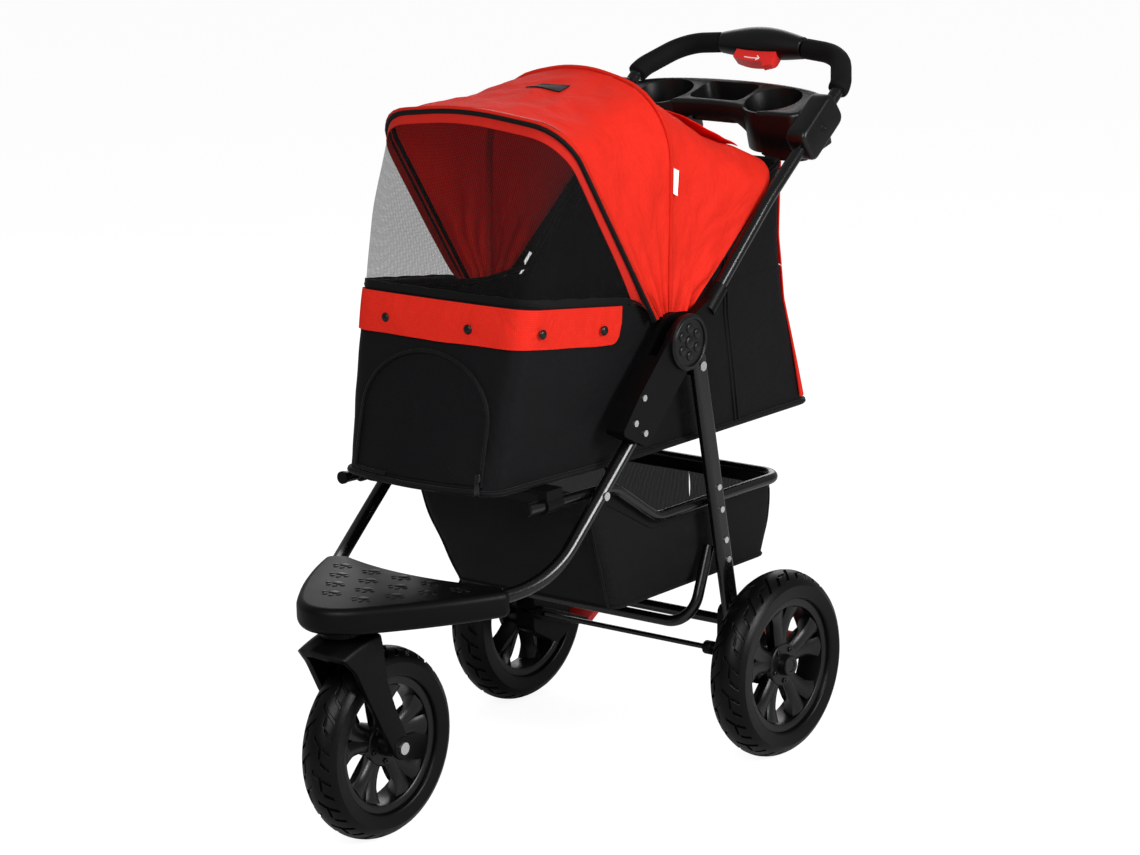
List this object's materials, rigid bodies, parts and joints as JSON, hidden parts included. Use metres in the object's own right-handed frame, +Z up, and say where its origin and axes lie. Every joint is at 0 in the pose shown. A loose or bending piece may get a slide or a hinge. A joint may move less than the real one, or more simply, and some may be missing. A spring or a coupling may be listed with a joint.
{
  "type": "pet stroller",
  "caption": "Folding three-wheel pet stroller with a zipped fabric tub and hood, a swivel front wheel, a cup tray, a basket and a parking brake.",
  "frame": {"origin": "on the ground, under the middle of the outline", "axes": "front is -Y, the left side is +X, up is +Z"},
  "size_m": [0.5424, 1.078, 1.0075],
  "materials": {
    "powder_black": "gloss",
    "zinc_steel": "satin",
    "black_nylon": "satin",
    "black_abs": "gloss",
    "red_abs": "gloss",
    "foam": "matte",
    "eva_tyre": "matte",
    "red_cloth": "woven",
    "black_cloth": "woven",
    "black_mesh": "mesh",
    "fibreboard": "matte"
  },
  "bodies": {
    "chassis": {"front_tube": "powder_black", "footrest": "black_nylon", "caster_head": "black_nylon", "caster_bush": "black_nylon", "hinge_bracket_left": "black_nylon", "hinge_bracket_right": "black_nylon", "hinge_discs": "black_abs", "hinge_pins": "zinc_steel", "leg_pins": "zinc_steel", "bracket_screws": "zinc_steel", "tub": "black_cloth", "floor_board": "fibreboard", "rim_wire": "powder_black"},
    "front_door": {"front_door": "black_cloth"},
    "basket_frame": {"basket_tube": "powder_black", "basket_caps": "black_nylon", "basket_rivets": "zinc_steel", "basket": "black_mesh", "tub_saddles": "black_nylon"},
    "handle_frame": {"handle_tube": "powder_black", "handle_knuckle_left": "black_nylon", "handle_knuckle_right": "black_nylon", "grip_left": "foam", "grip_right": "foam", "handle_cover": "black_abs", "trigger_springs": "zinc_steel", "tray": "black_abs", "tray_clamps": "black_abs", "canopy_rear": "red_cloth"},
    "fold_trigger": {"fold_trigger": "red_abs"},
    "mid_hoop": {"mid_hoop": "powder_black", "canopy_front": "red_cloth"},
    "front_hoop": {"front_hoop": "powder_black", "mesh_window": "black_mesh"},
    "rear_frame": {"rear_leg_left": "powder_black", "rear_leg_right": "powder_black", "rear_brace": "powder_black", "axle_beam": "powder_black", "brake_housing_left": "black_nylon", "brake_housing_right": "black_nylon", "rear_axles": "zinc_steel", "rear_screws": "zinc_steel"},
    "brake": {"brake_rod": "zinc_steel", "brake_pedal_left": "red_abs", "brake_pedal_right": "red_abs"},
    "caster": {"fork": "black_nylon", "king_pin": "zinc_steel", "front_axle": "zinc_steel", "front_axle_nut": "zinc_steel"},
    "front_wheel": {"front_tyre": "eva_tyre", "front_rim": "black_abs", "front_bush": "black_nylon"},
    "rear_wheel_left": {"rear_tyre_left": "eva_tyre", "rear_rim_left": "black_abs", "rear_bush_left": "black_nylon", "hub_cap_left": "black_abs"},
    "rear_wheel_right": {"rear_tyre_right": "eva_tyre", "rear_rim_right": "black_abs", "rear_bush_right": "black_nylon", "hub_cap_right": "black_abs"}
  },
  "joints": [
    {"name": "frame_fold", "type": "hinge", "parent": "chassis", "child": "handle_frame", "pos_m": [0, 0.045, 0.634], "axis": [1, 0, 0], "range_deg": [0, 140], "deforming": ["tub", "canopy_rear", "mesh_window"]},
    {"name": "legs_fold", "type": "hinge", "parent": "chassis", "child": "rear_frame", "pos_m": [0, 0.091, 0.59], "axis": [1, 0, 0], "range_deg": [-32, 0]},
    {"name": "basket_fold", "type": "hinge", "parent": "chassis", "child": "basket_frame", "pos_m": [0, -0.13568, 0.44956], "axis": [1, 0, 0], "range_deg": [0, 3.9]},
    {"name": "hood_fold", "type": "hinge", "parent": "handle_frame", "child": "mid_hoop", "pos_m": [0, 0.045, 0.634], "axis": [1, 0, 0], "range_deg": [-68, 0]},
    {"name": "canopy_retract", "type": "hinge", "parent": "mid_hoop", "child": "front_hoop", "pos_m": [0, 0.045, 0.634], "axis": [1, 0, 0], "range_deg": [-30, 0], "deforming": ["canopy_front"]},
    {"name": "caster_swivel", "type": "hinge", "parent": "chassis", "child": "caster", "pos_m": [0, -0.47, 0.3], "axis": [0, 0, 1], "continuous": true},
    {"name": "front_wheel_spin", "type": "hinge", "parent": "caster", "child": "front_wheel", "pos_m": [0, -0.405, 0.134], "axis": [1, 0, 0], "continuous": true},
    {"name": "rear_wheel_left_spin", "type": "hinge", "parent": "rear_frame", "child": "rear_wheel_left", "pos_m": [0.241, 0.195, 0.137], "axis": [1, 0, 0], "continuous": true},
    {"name": "rear_wheel_right_spin", "type": "hinge", "parent": "rear_frame", "child": "rear_wheel_right", "pos_m": [-0.241, 0.195, 0.137], "axis": [1, 0, 0], "continuous": true},
    {"name": "brake_press", "type": "hinge", "parent": "rear_frame", "child": "brake", "pos_m": [0, 0.147, 0.158], "axis": [-1, 0, 0], "range_deg": [0, 15]},
    {"name": "fold_trigger_squeeze", "type": "slide", "parent": "handle_frame", "child": "fold_trigger", "axis": [0, 0.7071, 0.7071], "range_m": [0, 0.006], "stiffness_N_per_m": 600, "deforming": ["trigger_springs"]},
    {"name": "front_door_open", "type": "hinge", "parent": "chassis", "child": "front_door", "pos_m": [0, -0.3215, 0.486], "axis": [1, 0, 0], "range_deg": [0, 100]}
  ],
  "couplings": [
    {"joint": "legs_fold", "follows": "frame_fold", "ratio": -0.22857},
    {"joint": "basket_fold", "follows": "frame_fold", "ratio": 0.027857},
    {"joint": "hood_fold", "follows": "frame_fold", "ratio": -0.48571}
  ]
}
